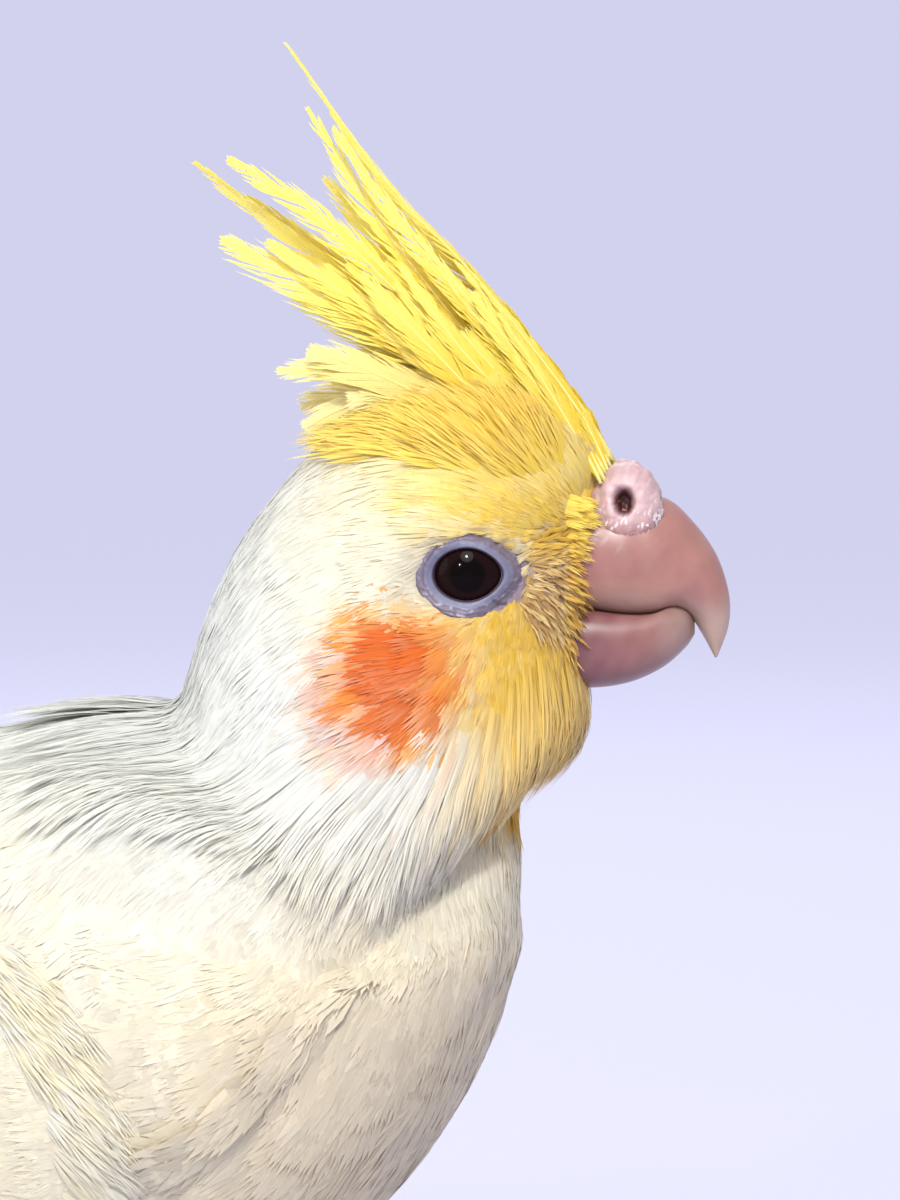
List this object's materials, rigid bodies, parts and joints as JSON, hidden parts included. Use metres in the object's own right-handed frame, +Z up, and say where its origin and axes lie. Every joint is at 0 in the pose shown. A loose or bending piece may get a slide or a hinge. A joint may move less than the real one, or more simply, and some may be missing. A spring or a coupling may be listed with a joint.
{
  "type": "cockatiel model",
  "caption": "Life-size still model of a standing cockatiel with a raised crest, folded wings, long pointed tail and gripping feet.",
  "frame": {"origin": "on the floor, under the middle of the bird's length and width", "axes": "+X forwards along the body from tail to bill, +Y to the bird's left, +Z up"},
  "size_m": [0.2572, 0.0596, 0.1402],
  "materials": {
    "plumage_white": "soft creamy white feathers",
    "plumage_yellow": "soft yellow feathers",
    "bill": "pink horn with a satin shine",
    "cere": "pale pink bare skin",
    "eyelid": "grey-lilac bare skin",
    "eye": "wet and near black, dark red inside",
    "foot_skin": "pink scaly skin",
    "claw": "horn-coloured, satin"
  },
  "bodies": {
    "root": {"head": "plumage_white", "neck": "plumage_white", "torso": "plumage_white", "tail": "plumage_white", "wing_left": "plumage_white", "wing_right": "plumage_white", "thigh_left": "plumage_white", "thigh_right": "plumage_white", "crest": "plumage_yellow", "bill_upper": "bill", "bill_lower": "bill", "cere": "cere", "eyelids_left": "eyelid", "eyelids_right": "eyelid", "eye_left": "eye", "eye_right": "eye", "foot_left": "foot_skin", "foot_right": "foot_skin", "claw_left_1": "claw", "claw_left_2": "claw", "claw_left_3": "claw", "claw_left_4": "claw", "claw_right_1": "claw", "claw_right_2": "claw", "claw_right_3": "claw", "claw_right_4": "claw"}
  },
  "joints": []
}
